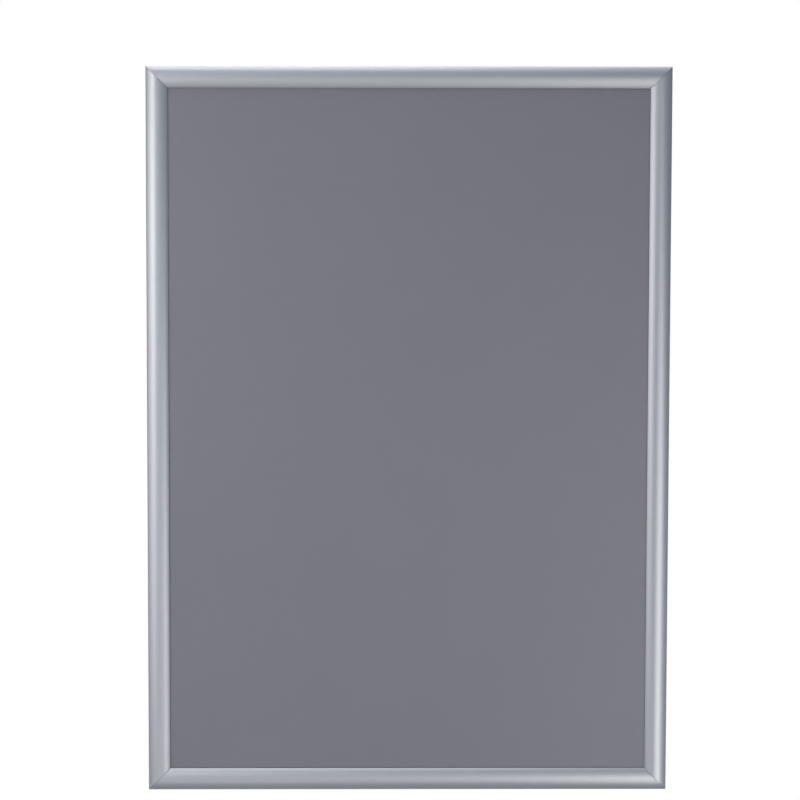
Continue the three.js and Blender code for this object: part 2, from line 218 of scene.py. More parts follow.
def spread(
    tree: bpy.types.NodeTree, source: bpy.types.NodeSocket, low: float, high: float
) -> bpy.types.NodeSocket:
    """Maps the middle of a noise onto a range.

    Args:
        tree: The material's node tree.
        source: The noise.
        low: The result at the middle's lower end and below.
        high: The result at its upper end and above.

    Returns:
        The mapped value.
    """
    lowest, highest = NOISE_MIDDLE
    mapped = add_node(
        tree,
        "MapRange",
        {"Value": source, "From Min": lowest, "From Max": highest, "To Min": low, "To Max": high},
    )
    return mapped.outputs["Result"]


def toned(
    tree: bpy.types.NodeTree, source: bpy.types.NodeSocket, colour: str, depth: float
) -> bpy.types.NodeSocket:
    """Varies a colour's lightness a little by a noise.

    Args:
        tree: The material's node tree.
        source: The noise.
        colour: The mean colour, as sRGB hex.
        depth: How far the lightness strays to either side, as a share.

    Returns:
        The varied colour.
    """
    value = spread(tree, source, 1 - depth, 1 + depth)
    tone = add_node(tree, "HueSaturation", {"Color": linear_colour(colour), "Value": value})
    return tone.outputs["Color"]


@dataclass(frozen=True)
class AnodisedExtrusion:
    """Aluminium pressed through a die, etched matt and anodised in silver.

    The etch gives a soft satin gloss of nearly neutral tint. The die leaves faint lines along the rail.
    """

    name: str = "silver_anodised_extrusion"
    colour: str = "#c6c6c8"
    tone_depth: float = 0.02
    roughness: tuple[float, float] = (0.41, 0.46)
    line_spacing: float = 0.5  # real die lines are finer, and these show only in a close look
    line_length: float = 4000.0  # a line runs on for the whole rail
    line_height: float = 0.002
    etch_size: float = 0.22
    etch_height: float = 0.0015

    @cache
    def material(self, grain: Grain) -> bpy.types.Material:
        """Builds the material for rails that run one way.

        Args:
            grain: The axis of the die lines.

        Returns:
            The new material.
        """
        material, tree = empty_material(f"{self.name}_{grain.name.lower()}")
        lined_place = lined_position(tree, grain, self.line_spacing, self.line_length)
        lines = add_node(tree, "TexNoise", {"Vector": lined_place, "Scale": 1.0, "Detail": 3.0})
        etch = add_node(
            tree, "TexNoise", {"Vector": grain_position(tree, self.etch_size), "Scale": 1.0, "Detail": 1.0}
        )
        lined = add_node(
            tree, "Bump", {"Height": lines.outputs["Fac"], "Distance": self.line_height * MM, "Strength": 1.0}
        )
        etched = add_node(
            tree,
            "Bump",
            {
                "Height": etch.outputs["Fac"],
                "Distance": self.etch_height * MM,
                "Strength": 1.0,
                "Normal": lined.outputs["Normal"],
            },
        )
        shader = add_node(
            tree,
            "BsdfPrincipled",
            {
                "Base Color": toned(tree, lines.outputs["Fac"], self.colour, self.tone_depth),
                "Metallic": 1.0,
                "Roughness": spread(tree, lines.outputs["Fac"], *self.roughness),
                "Normal": etched.outputs["Normal"],
            },
        )
        add_node(tree, "OutputMaterial", {"Surface": shader.outputs["BSDF"]})
        return material


@dataclass(frozen=True)
class SpringStrip:
    """Hardened spring steel strip, rolled to a blue-grey sheen with fine lines along the strip."""

    name: str = "hardened_spring_strip"
    colour: str = "#6f7278"
    tone_depth: float = 0.06
    roughness: tuple[float, float] = (0.24, 0.36)
    line_spacing: float = 0.3
    line_length: float = 30.0

    @cache
    def material(self, grain: Grain) -> bpy.types.Material:
        """Builds the material for strips that run one way.

        Args:
            grain: The axis of the rolling lines.

        Returns:
            The new material.
        """
        material, tree = empty_material(f"{self.name}_{grain.name.lower()}")
        lined_place = lined_position(tree, grain, self.line_spacing, self.line_length)
        lines = add_node(tree, "TexNoise", {"Vector": lined_place, "Scale": 1.0, "Detail": 2.0})
        shader = add_node(
            tree,
            "BsdfPrincipled",
            {
                "Base Color": toned(tree, lines.outputs["Fac"], self.colour, self.tone_depth),
                "Metallic": 1.0,
                "Roughness": spread(tree, lines.outputs["Fac"], *self.roughness),
            },
        )
        add_node(tree, "OutputMaterial", {"Surface": shader.outputs["BSDF"]})
        return material


@dataclass(frozen=True)
class ZincPlate:
    """Steel with bright electroplated zinc, which clouds into soft lighter and darker patches."""

    name: str = "bright_zinc_plate"
    colour: str = "#a4a8ad"
    tone_depth: float = 0.07
    roughness: tuple[float, float] = (0.26, 0.42)
    patch_size: float = 3.0

    def material(self) -> bpy.types.Material:
        """Builds the material."""
        material, tree = empty_material(self.name)
        patches = add_node(
            tree, "TexNoise", {"Vector": grain_position(tree, self.patch_size), "Scale": 1.0, "Detail": 4.0}
        )
        shader = add_node(
            tree,
            "BsdfPrincipled",
            {
                "Base Color": toned(tree, patches.outputs["Fac"], self.colour, self.tone_depth),
                "Metallic": 1.0,
                "Roughness": spread(tree, patches.outputs["Fac"], *self.roughness),
            },
        )
        add_node(tree, "OutputMaterial", {"Surface": shader.outputs["BSDF"]})
        return material


@dataclass(frozen=True)
class MattPolystyrene:
    """Grey polystyrene sheet, rolled with a fine matt grain that keeps its reflections soft."""

    name: str = "matt_grey_polystyrene"
    colour: str = "#8a858c"
    tone_depth: float = 0.015
    roughness: tuple[float, float] = (0.55, 0.62)
    grain_size: float = 0.8
    grain_height: float = 0.01
    cloud_size: float = 130.0
    ior: float = 1.59

    def material(self) -> bpy.types.Material:
        """Builds the material."""
        material, tree = empty_material(self.name)
        grit = add_node(
            tree, "TexNoise", {"Vector": grain_position(tree, self.grain_size), "Scale": 1.0, "Detail": 2.0}
        )
        clouds = add_node(
            tree, "TexNoise", {"Vector": grain_position(tree, self.cloud_size), "Scale": 1.0, "Detail": 2.0}
        )
        bump = add_node(
            tree, "Bump", {"Height": grit.outputs["Fac"], "Distance": self.grain_height * MM, "Strength": 1.0}
        )
        shader = add_node(
            tree,
            "BsdfPrincipled",
            {
                "Base Color": toned(tree, clouds.outputs["Fac"], self.colour, self.tone_depth),
                "Roughness": spread(tree, grit.outputs["Fac"], *self.roughness),
                "IOR": self.ior,
                "Normal": bump.outputs["Normal"],
            },
        )
        add_node(tree, "OutputMaterial", {"Surface": shader.outputs["BSDF"]})
        return material


@dataclass(frozen=True)
class AntiGlareSheet:
    """Clear polyester sheet with a matt-etched face, so it veils what lies behind it only slightly."""

    name: str = "clear_anti_glare_sheet"
    colour: str = "#9b9ba2"
    alpha: float = 0.16
    roughness: tuple[float, float] = (0.36, 0.44)
    coat_roughness: float = 0.4
    grain_size: float = 0.5
    ior: float = 1.57

    def material(self) -> bpy.types.Material:
        """Builds the material."""
        material, tree = empty_material(self.name)
        etch = add_node(
            tree, "TexNoise", {"Vector": grain_position(tree, self.grain_size), "Scale": 1.0, "Detail": 1.0}
        )
        shader = add_node(
            tree,
            "BsdfPrincipled",
            {
                "Base Color": linear_colour(self.colour),
                "Roughness": spread(tree, etch.outputs["Fac"], *self.roughness),
                "IOR": self.ior,
                "Specular IOR Level": 1.0,
                "Coat Weight": 1.0,
                "Coat Roughness": self.coat_roughness,
                "Alpha": self.alpha,
            },
        )
        add_node(tree, "OutputMaterial", {"Surface": shader.outputs["BSDF"]})
        return material


def point_at(centre: Vector, radius: float, degrees: float) -> Vector:
    """Finds a point on a circle.

    Args:
        centre: The circle's centre, as (u, v).
        radius: Its radius.
        degrees: The direction from the centre, from +u towards +v.

    Returns:
        The point as (u, v).
    """
    angle = math.radians(degrees)
    return centre + radius * Vector((math.cos(angle), math.sin(angle)))


def bearing(start: Vector, end: Vector) -> float:
    """Returns the direction of one point from another, from 0 to 360 degrees."""
    return math.degrees(math.atan2(end.y - start.y, end.x - start.x)) % 360


def circle_meeting(centre: Vector, radius: float, other: Vector, other_radius: float) -> Vector:
    """Finds where two circles meet.

    Args:
        centre: The first circle's centre.
        radius: The first circle's radius.
        other: The second circle's centre.
        other_radius: The second circle's radius.

    Returns:
        The meeting point on the left of the line from the first centre to the second.
    """
    span = (other - centre).length
    ahead = (span**2 + radius**2 - other_radius**2) / (2 * span)
    aside = math.sqrt(radius**2 - ahead**2)
    direction = bearing(centre, other)
    return point_at(point_at(centre, ahead, direction), aside, direction + 90)


def link_piece(name: str, mesh: bmesh.types.BMesh, material: bpy.types.Material) -> bpy.types.Object:
    """Makes an object of a finished bmesh and frees the bmesh.

    Args:
        name: The piece's name.
        mesh: Its shape, in metres.
        material: Its finish.

    Returns:
        The new object, at the origin.
    """
    data = bpy.data.meshes.new(name)
    mesh.to_mesh(data)
    mesh.free()
    data.materials.append(material)
    piece = bpy.data.objects.new(name, data)
    bpy.context.scene.collection.objects.link(piece)
    return piece


def shade_by_angle(mesh: bmesh.types.BMesh, degrees: float) -> None:
    """Shades a mesh smooth, apart from its edges that turn more than so many degrees."""
    for face in mesh.faces:
        face.smooth = True
    for edge in mesh.edges:
        edge.smooth = edge.calc_face_angle(math.pi) < math.radians(degrees)


def many_sided(mesh: bmesh.types.BMesh) -> list[bmesh.types.BMFace]:
    """Returns the faces with more than four sides, which are the end caps of a pulled section."""
    return [face for face in mesh.faces if len(face.verts) > 4]


def even_normals(piece: bpy.types.Object) -> None:
    """Weights a piece's normals by face area, so that flats stay flat beside small bevels."""
    modifier = piece.modifiers.new("even_normals", "WEIGHTED_NORMAL")
    modifier.keep_sharp = True


def bevel_edges(
    mesh: bmesh.types.BMesh, edges: list[bmesh.types.BMEdge], width: float, segments: int = 2
) -> None:
    """Rounds off edges.

    Args:
        mesh: The mesh that the edges belong to.
        edges: The edges to round.
        width: How far the rounding reaches from each edge.
        segments: The number of faces across it.
    """
    bmesh.ops.bevel(
        mesh,
        geom=edges,
        offset=width,
        offset_type="OFFSET",
        segments=segments,
        profile=0.5,
        affect="EDGES",
        clamp_overlap=True,
        material=-1,
    )


class SectionPen:
    """Draws the outline of an extruded section, stroke by stroke, in millimetres."""

    SAGITTA = 0.002  # how far a facet's middle may lie from its arc
    TOUCHING = 1e-6

    def __init__(self) -> None:
        """Starts with nothing drawn."""
        self.mesh = bmesh.new()
        self.first = None
        self.tip = None

    def line(self, end: Vector) -> None:
        """Draws a straight stroke to a point, or puts the pen down there.

        Args:
            end: The point as (u, v).
        """
        place = Vector((end.x, end.y, 0.0))
        if self.tip is None:
            self.first = self.tip = bmesh.ops.create_vert(self.mesh, co=place)["vert"][0]
        elif (place - self.tip.co).length > self.TOUCHING:
            grown = bmesh.ops.extrude_vert_indiv(self.mesh, verts=[self.tip])["verts"][0]
            bmesh.ops.translate(self.mesh, verts=[grown], vec=place - self.tip.co)
            self.tip = grown

    def arc(self, centre: Vector, radius: float, start: float, end: float) -> None:
        """Draws a straight stroke to an arc's start, if it is apart, and then the arc.

        Args:
            centre: The arc's centre as (u, v).
            radius: Its radius.
            start: The direction of its start from the centre, in degrees.
            end: The direction of its end.
        """
        self.line(point_at(centre, radius, start))
        facet = 2 * math.degrees(math.acos(1 - self.SAGITTA / radius))
        swept = bmesh.ops.spin(
            self.mesh,
            geom=[self.tip],
            cent=(centre.x, centre.y, 0.0),
            axis=(0.0, 0.0, 1.0),
            angle=math.radians(end - start),
            steps=math.ceil(abs(end - start) / facet),
        )
        self.tip = next(item for item in swept["geom_last"] if isinstance(item, bmesh.types.BMVert))

    def extrude(self, length: float) -> bmesh.types.BMesh:
        """Closes the outline and pulls it out along s, evenly to both sides of s = 0.

        Args:
            length: The bar's length in millimetres.

        Returns:
            The bar, whose faces point outwards.
        """
        bmesh.ops.contextual_create(self.mesh, geom=[self.first, self.tip])
        cap = bmesh.ops.contextual_create(self.mesh, geom=self.mesh.edges[:])["faces"]
        pulled = bmesh.ops.extrude_face_region(self.mesh, geom=cap, use_keep_orig=True)
        far = [item for item in pulled["geom"] if isinstance(item, bmesh.types.BMVert)]
        bmesh.ops.translate(self.mesh, verts=far, vec=(0.0, 0.0, length))
        bmesh.ops.translate(self.mesh, verts=self.mesh.verts, vec=(0.0, 0.0, -length / 2))
        bmesh.ops.recalc_face_normals(self.mesh, faces=self.mesh.faces)
        return self.mesh


@dataclass
class CoverRails:
    """The four hinged cover rails, with the rounded face that shows from the front.

    Sizes are in millimetres and degrees. The face's width, the rail's depth and its length come from the
    CAD node that each rail replaces.
    """

    finish: AnodisedExtrusion = AnodisedExtrusion()
    hinge_u: float = 2.3
    hinge_v: float = 4.6
    bead_r: float = 1.25
    neck: float = 0.9
    claw_in: float = 2.55
    claw_out: float = 3.55
    claw_fillet: float = 0.8
    seat_angle: float = -33.0
    seat_distance: float = 4.4
    seat_r: float = 0.75
    seat_horn: float = 0.35
    shell: float = 1.1
    crest_u: float = 12.6
    lip_v: float = 6.45
    lip_edge: float = 1.1
    lip_foot: float = 1.8
    shoulder_r: float = 2.0
    nose_r: float = 0.6
    tip: float = 0.4
    swing: float = 100.0
    mitre_gap: float = 0.3
    edge_round: float = 0.12
    corner_angle: float = 40.0

    @property
    def hinge(self) -> Vector:
        """The hinge's axis as (u, v)."""
        return Vector((self.hinge_u, self.hinge_v))

    def outline(self, face_width: float, depth: float) -> SectionPen:
        """Draws the rail's section.

        Args:
            face_width: From the outer to the inner edge.
            depth: From the wall to the crest of the face.

        Returns:
            The pen with the whole outline, still open at its end.
        """
        drop = depth - (self.lip_v + self.lip_edge)
        face_r = ((face_width - self.crest_u) ** 2 + drop**2) / (2 * drop)
        face = Vector((self.crest_u, depth - face_r))
        shoulder_rise = math.sqrt((face_r - self.shoulder_r) ** 2 - (self.crest_u - self.shoulder_r) ** 2)
        shoulder = Vector((self.shoulder_r, face.y + shoulder_rise))
        nose_u = face_width - self.nose_r
        nose_rise = math.sqrt((face_r - self.nose_r) ** 2 - (nose_u - self.crest_u) ** 2)
        nose = Vector((nose_u, face.y + nose_rise))
        foot_u = face_width - self.lip_foot
        shell_r = face_r - self.shell
        foot_angle = math.degrees(math.acos((foot_u - self.crest_u) / shell_r))
        fillet_reach = self.claw_out + self.claw_fillet
        fillet = circle_meeting(self.hinge, fillet_reach, face, shell_r - self.claw_fillet)

        horn_r = self.claw_out + self.seat_horn
        seat = point_at(self.hinge, self.seat_distance, self.seat_angle)
        horn = circle_meeting(seat, self.seat_r, self.hinge, horn_r)
        cup_half = (bearing(self.hinge, seat) - bearing(self.hinge, horn)) % 360
        cup_turn = (bearing(seat, horn) - bearing(seat, self.hinge)) % 360
        horn_half = cup_half + math.degrees(self.seat_horn / horn_r)
        to_hinge = bearing(seat, self.hinge)
        neck_at_bead = math.degrees(math.asin(self.neck / 2 / self.bead_r))
        neck_at_claw = math.degrees(math.asin(self.neck / 2 / self.claw_in))
        tip_angle = math.degrees(math.acos((self.tip - self.hinge_u) / self.claw_in))

        pen = SectionPen()
        pen.line(Vector((0.0, point_at(self.hinge, self.claw_in, tip_angle).y)))
        pen.arc(shoulder, self.shoulder_r, 180, bearing(face, shoulder))
        pen.arc(face, face_r, bearing(face, shoulder), bearing(face, nose))
        pen.arc(nose, self.nose_r, bearing(face, nose), 0)
        pen.line(Vector((face_width, self.lip_v)))
        pen.line(Vector((foot_u, self.lip_v)))
        pen.arc(face, shell_r, foot_angle, bearing(face, fillet))
        pen.arc(fillet, self.claw_fillet, bearing(face, fillet), bearing(self.hinge, fillet) + 180)
        pen.arc(self.hinge, self.claw_out, bearing(self.hinge, fillet), self.seat_angle + horn_half)
        pen.line(point_at(self.hinge, horn_r, self.seat_angle + horn_half))
        pen.arc(seat, self.seat_r, to_hinge - cup_turn, to_hinge + cup_turn)
        pen.line(point_at(self.hinge, horn_r, self.seat_angle - horn_half))
        back = point_at(self.hinge, (self.claw_in + self.claw_out) / 2, self.seat_angle)
        pen.line(point_at(back, horn_r * math.sin(math.radians(horn_half)), self.seat_angle - 90))
        pen.line(point_at(self.hinge, self.claw_in, self.seat_angle - neck_at_claw))
        pen.arc(
            self.hinge, self.bead_r, self.seat_angle - neck_at_bead, self.seat_angle + neck_at_bead - 360
        )
        pen.arc(self.hinge, self.claw_in, self.seat_angle + neck_at_claw, tip_angle)
        return pen

    def inward_drift(self, place: Vector) -> float:
        """Works out how far a point of the cover moves inward of its place while the cover swings open.

        Args:
            place: The point, whose x and y are u and v.

        Returns:
            The distance in millimetres.
        """
        arm = Vector((place.x, place.y)) - self.hinge
        start = math.degrees(math.atan2(arm.y, arm.x))
        end_u = arm.length * math.cos(math.radians(start + self.swing))
        furthest = arm.length if start < 0 < start + self.swing else max(arm.x, end_u)
        return furthest - arm.x

    def mitre(self, bar: bmesh.types.BMesh, length: float) -> None:
        """Slants both ends of a bar by 45 degrees, rounds their edges and draws the claw's ends back.

        Args:
            bar: The bar along s.
            length: The length of its outer edge.
        """
        half_gap = self.mitre_gap * math.sqrt(0.5)
        for vert in bar.verts:
            end = length / 2 - vert.co.x - half_gap
            vert.co.z = math.copysign(end, vert.co.z)
        cap_edges = {edge for cap in many_sided(bar) for edge in cap.edges}
        corners = {edge for edge in bar.edges if edge.calc_face_angle(0.0) > math.radians(self.corner_angle)}
        bevel_edges(bar, list(cap_edges | corners), self.edge_round)
        bmesh.ops.triangulate(bar, faces=many_sided(bar))
        for vert in bar.verts:
            drift = self.inward_drift(vert.co)
            vert.co.z -= math.copysign(drift, vert.co.z)

    def build(self, side: Side) -> bpy.types.Object:
        """Builds one cover rail and puts it in the place of its CAD node.

        Args:
            side: The side of the frame.

        Returns:
            The finished piece.
        """
        node = f"cover_rail_{side.label}"
        low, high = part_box(node)
        size = high - low
        outer_edge = (low + high) / 2 - side.inward * abs(size.dot(side.inward)) / 2
        outer_edge.y = 0.0
        face_width = abs(size.dot(side.inward)) / MM
        length = abs(size.dot(side.along)) / MM + self.mitre_gap * math.sqrt(2)
        bar = self.outline(face_width, -low.y / MM).extrude(length)
        self.mitre(bar, length)
        turn = Matrix((side.inward * MM, FRONT * MM, side.along * MM)).transposed().to_4x4()
        bmesh.ops.transform(bar, matrix=Matrix.Translation(outer_edge) @ turn, verts=bar.verts)
        shade_by_angle(bar, self.corner_angle)
        piece = link_piece(f"{side.label}_cover_rail", bar, self.finish.material(side.grain))
        even_normals(piece)
        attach(piece, f"cover_{side.label}")
        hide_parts(node)
        return piece


@dataclass(frozen=True)
class NodeDresser:
    """Makes a clean, smooth-shaded piece of a CAD node's own shape, with its edges slightly rounded."""

    slot: str
    edge_round: float
    flat_angle: float = 0.2
    corner_angle: float = 40.0

    def dress(self, node: str, name: str, body: str, material: bpy.types.Material) -> bpy.types.Object:
        """Copies a node, merges its loose triangles into whole faces and finishes the copy.

        Args:
            node: The CAD node.
            name: The new piece's name.
            body: The body that the piece rides on.
            material: Its finish.

        Returns:
            The finished piece.
        """
        copy = bmesh.new()
        copy.from_mesh(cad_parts[node].data)
        bmesh.ops.remove_doubles(copy, verts=copy.verts, dist=MERGE_DISTANCE)
        bmesh.ops.dissolve_limit(
            copy, angle_limit=math.radians(self.flat_angle), verts=copy.verts, edges=copy.edges
        )
        corners = [edge for edge in copy.edges if edge.calc_face_angle(0.0) > math.radians(self.corner_angle)]
        bevel_edges(copy, corners, self.edge_round * MM)
        shade_by_angle(copy, self.corner_angle)
        piece = link_piece(name, copy, material)
        even_normals(piece)
        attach(piece, body)
        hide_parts(node)
        return piece


@dataclass
class BaseRails:
    """The four base rails, which carry everything and lie on the wall."""

    finish: AnodisedExtrusion = AnodisedExtrusion(
        name="mill_anodised_extrusion",
        colour="#b4b7bb",
        roughness=(0.40, 0.48),
        line_height=0.005,
    )
    dresser: NodeDresser = NodeDresser(slot="base_rail", edge_round=0.07)

    def build(self, side: Side) -> bpy.types.Object:
        """Builds one base rail.

        Args:
            side: The side of the frame.

        Returns:
            The finished piece.
        """
        material = self.finish.material(side.grain)
        return self.dresser.dress(f"base_rail_{side.label}", f"{side.label}_base_rail", "frame", material)


@dataclass
class LeafSprings:
    """The bowed strips that hold each cover shut or open."""

    finish: SpringStrip = SpringStrip()
    dresser: NodeDresser = NodeDresser(slot="leaf_spring", edge_round=0.05)

    def build(self, side: Side) -> list[bpy.types.Object]:
        """Builds one side's springs.

        Args:
            side: The side of the frame.

        Returns:
            The finished springs.
        """
        material = self.finish.material(side.grain)
        stem = f"spring_{side.label}_"
        nodes = sorted(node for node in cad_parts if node.startswith(stem))
        names = [f"{side.label}_spring_{node.removeprefix(stem)}" for node in nodes]
        body = f"springs_{side.label}"
        return [self.dresser.dress(node, name, body, material) for node, name in zip(nodes, names)]


@dataclass
class CornerKeys:
    """The flat angles that join the base rails inside their chambers."""

    finish: ZincPlate = ZincPlate()
    dresser: NodeDresser = NodeDresser(slot="corner_key", edge_round=0.15)

    def build(self) -> list[bpy.types.Object]:
        """Builds the four keys.

        Returns:
            The finished keys.
        """
        stem = "corner_key_"
        material = self.finish.material()
        nodes = sorted(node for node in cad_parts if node.startswith(stem))
        return [
            self.dresser.dress(node, f"{node.removeprefix(stem)}_corner_key", "frame", material)
            for node in nodes
        ]


@dataclass
class KeyScrews:
    """The countersunk cross-head screws that hold the corner keys, driven from the back.

    Sizes are in millimetres.
    """

    finish: ZincPlate = ZincPlate(name="zinc_plated_screw", patch_size=1.2)
    shank_r: float = 1.25
    head_r: float = 2.45
    head_land: float = 0.15
    recess_span: float = 2.6
    recess_width: float = 0.62
    recess_depth: float = 0.7
    recess_taper: float = 0.55
    tip_round: float = 0.2
    edge_round: float = 0.06
    corner_angle: float = 35.0
    facets: int = 48

    def cross_faces(self, screw: bmesh.types.BMesh) -> list[bmesh.types.BMFace]:
        """Cuts the outline of a cross into the head's flat disc.

        Args:
            screw: The mesh, so far only the disc.

        Returns:
            The faces inside the cross.
        """
        half_width = self.recess_width / 2
        half_span = self.recess_span / 2
        for axis in (Vector((1, 0, 0)), Vector((0, 1, 0))):
            for place in (-half_span, -half_width, half_width, half_span):
                everything = screw.verts[:] + screw.edges[:] + screw.faces[:]
                bmesh.ops.bisect_plane(screw, geom=everything, plane_co=axis * place, plane_no=axis)
        middles = {face: face.calc_center_median() for face in screw.faces}
        return [
            face
            for face, middle in middles.items()
            if min(abs(middle.x), abs(middle.y)) < half_width
            and max(abs(middle.x), abs(middle.y)) < half_span
        ]

    def shape(self, length: float) -> bmesh.types.BMesh:
        """Models a screw whose head faces +Z at the origin and whose shank points down.

        Args:
            length: The screw's whole length.

        Returns:
            The screw's mesh.
        """
        screw = bmesh.new()
        bmesh.ops.create_circle(screw, cap_ends=True, radius=self.head_r, segments=self.facets)
        cross = self.cross_faces(screw)
        sunk = bmesh.ops.extrude_face_region(screw, geom=cross)["geom"]
        floor = [item for item in sunk if isinstance(item, bmesh.types.BMVert)]
        bmesh.ops.translate(screw, verts=floor, vec=(0, 0, -self.recess_depth))
        bmesh.ops.scale(screw, verts=floor, vec=(self.recess_taper, self.recess_taper, 1))
        bmesh.ops.delete(screw, geom=[face for face in cross if face.is_valid], context="FACES_ONLY")
        rim = [edge for edge in screw.edges if edge.is_boundary]
        cone_end = self.head_land + self.head_r - self.shank_r
        levels = (
            (self.head_land, 1.0),
            (cone_end, self.shank_r / self.head_r),
            (length, self.shank_r / self.head_r),
        )
        height = 0.0
        width = 1.0
        for depth, share in levels:
            grown = bmesh.ops.extrude_edge_only(screw, edges=rim)["geom"]
            ring = [item for item in grown if isinstance(item, bmesh.types.BMVert)]
            bmesh.ops.translate(screw, verts=ring, vec=(0, 0, height - depth))
            bmesh.ops.scale(screw, verts=ring, vec=(share / width, share / width, 1))
            rim = [item for item in grown if isinstance(item, bmesh.types.BMEdge) and item.is_boundary]
            height, width = depth, share
        bmesh.ops.contextual_create(screw, geom=rim)
        bevel_edges(screw, rim, self.tip_round)
        return screw

    def build(self) -> list[bpy.types.Object]:
        """Builds all the screws in the places of their CAD nodes.

        Returns:
            The finished screws.
        """
        stem = "key_screw_"
        material = self.finish.material()
        screws = []
        for node in sorted(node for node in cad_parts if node.startswith(stem)):
            side, number = node.removeprefix(stem).split("_")
            screws.append(self.place(node, f"{side}_key_screw_{number}", material))
        return screws

    def place(self, node: str, name: str, material: bpy.types.Material) -> bpy.types.Object:
        """Builds one screw.

        Args:
            node: The CAD node that it replaces.
            name: The piece's name.
            material: Its finish.

        Returns:
            The finished screw.
        """
        low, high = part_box(node)
        screw = self.shape((high.y - low.y) / MM)
        head = Vector(((low.x + high.x) / 2, high.y, (low.z + high.z) / 2))
        upright = Matrix.Rotation(math.radians(-90), 4, "X") @ Matrix.Scale(MM, 4)
        bmesh.ops.transform(screw, matrix=Matrix.Translation(head) @ upright, verts=screw.verts)
        bmesh.ops.recalc_face_normals(screw, faces=screw.faces)
        shade_by_angle(screw, self.corner_angle)
        piece = link_piece(name, screw, material)
        even_normals(piece)
        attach(piece, "frame")
        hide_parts(node)
        return piece


@dataclass
class FlatSheet:
    """A sheet that lies on the base rails' ledges, with guillotined edges and slightly rounded corners.

    Sizes are in millimetres and degrees.
    """

    node: str
    name: str
    finish: MattPolystyrene | AntiGlareSheet
    edge_round: float
    corner_round: float = 1.0
    corner_facets: int = 5
    border_angle: float = 60.0
    corner_angle: float = 40.0

    def build(self) -> bpy.types.Object:
        """Builds the sheet in the place of its CAD node.

        Returns:
            The finished sheet.
        """
        low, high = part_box(self.node)
        sheet = bmesh.new()
        bmesh.ops.create_cube(sheet, size=1.0)
        bmesh.ops.scale(sheet, vec=high - low, verts=sheet.verts)
        bmesh.ops.translate(sheet, vec=(low + high) / 2, verts=sheet.verts)
        half_thickness = (high.y - low.y) / 2
        corners = [
            edge for edge in sheet.edges if abs(edge.verts[0].co.y - edge.verts[1].co.y) > half_thickness
        ]
        bevel_edges(sheet, corners, self.corner_round * MM, segments=self.corner_facets)
        steep = math.radians(self.border_angle)
        borders = [edge for edge in sheet.edges if edge.calc_face_angle(0.0) > steep]
        bevel_edges(sheet, borders, self.edge_round * MM)
        shade_by_angle(sheet, self.corner_angle)
        piece = link_piece(self.name, sheet, self.finish.material())
        even_normals(piece)
        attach(piece, "frame")
        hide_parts(self.node)
        return piece


@dataclass(frozen=True)
class SoftLamp:
    """A softbox that faces the middle of the frame. Its radiance is 1 where it would show as white.

    The azimuth runs from straight in front of the frame towards +X, and the elevation from level upwards,
    both in degrees. Lengths are in metres.
    """

    name: str
    azimuth: float
    elevation: float
    distance: float
    width: float
    height: float
    radiance: float

    def place(self, target: Vector) -> Vector:
        """Works out where the lamp hangs.

        Args:
            target: The point that it faces.

        Returns:
            The lamp's place.
        """
        azimuth = math.radians(self.azimuth)
        elevation = math.radians(self.elevation)
        level = math.cos(elevation)
        way = Vector((level * math.sin(azimuth), -level * math.cos(azimuth), math.sin(elevation)))
        return target + self.distance * way

    def build(self, target: Vector) -> bpy.types.Object:
        """Builds the lamp.

        Args:
            target: The point that it faces.

        Returns:
            The lamp's object.
        """
        data = bpy.data.lights.new(self.name, "AREA")
        data.shape = "RECTANGLE"
        data.size = self.width
        data.size_y = self.height
        data.energy = self.radiance * math.pi * self.width * self.height
        lamp = bpy.data.objects.new(self.name, data)
        lamp.location = self.place(target)
        lamp.rotation_euler = (target - lamp.location).to_track_quat("-Z", "Y").to_euler()
        lamp.visible_camera = False
        bpy.context.scene.collection.objects.link(lamp)
        return lamp


